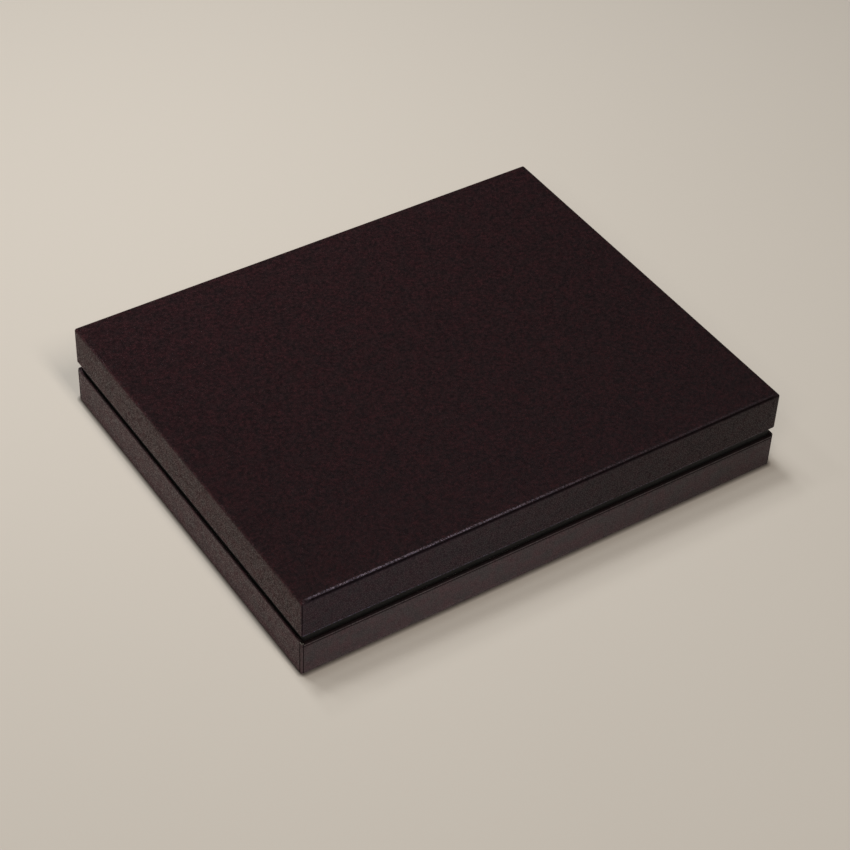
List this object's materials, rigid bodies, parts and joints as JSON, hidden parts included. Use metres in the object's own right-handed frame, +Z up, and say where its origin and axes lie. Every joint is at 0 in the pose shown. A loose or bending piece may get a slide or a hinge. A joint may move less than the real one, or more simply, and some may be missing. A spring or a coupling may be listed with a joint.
{
  "type": "shoulder gift box",
  "caption": "Low rectangular rigid box whose lift-off lid rests on a recessed black shoulder, leaving a shadow gap above the base.",
  "frame": {"origin": "middle of the base's footprint, on the plane the box rests on", "axes": "+X along the long side, +Y from the front to the back, +Z up, the way the lid lifts"},
  "size_m": [0.32, 0.259, 0.0545],
  "materials": {
    "leather_grain_paper": "satin, fine pebbled leather grain",
    "black_paper": "matte",
    "grey_board": "matte, bare cut board",
    "kraft_tape": "matte kraft"
  },
  "bodies": {
    "base": {"base_bottom_board": "grey_board", "base_front_board": "grey_board", "base_back_board": "grey_board", "base_left_board": "grey_board", "base_right_board": "grey_board", "base_stay_front_left": "kraft_tape", "base_stay_front_right": "kraft_tape", "base_stay_back_left": "kraft_tape", "base_stay_back_right": "kraft_tape", "base_wrap": "leather_grain_paper", "base_lining": "black_paper", "shoulder_front_board": "grey_board", "shoulder_back_board": "grey_board", "shoulder_left_board": "grey_board", "shoulder_right_board": "grey_board", "shoulder_wrap": "black_paper"},
    "lid": {"lid_top_board": "grey_board", "lid_front_board": "grey_board", "lid_back_board": "grey_board", "lid_left_board": "grey_board", "lid_right_board": "grey_board", "lid_stay_front_left": "kraft_tape", "lid_stay_front_right": "kraft_tape", "lid_stay_back_left": "kraft_tape", "lid_stay_back_right": "kraft_tape", "lid_wrap": "leather_grain_paper", "lid_lining": "black_paper"}
  },
  "joints": [
    {"name": "lid_lift", "type": "slide", "parent": "base", "child": "lid", "axis": [0, 0, 1], "range_m": [0, 0.08]}
  ]
}
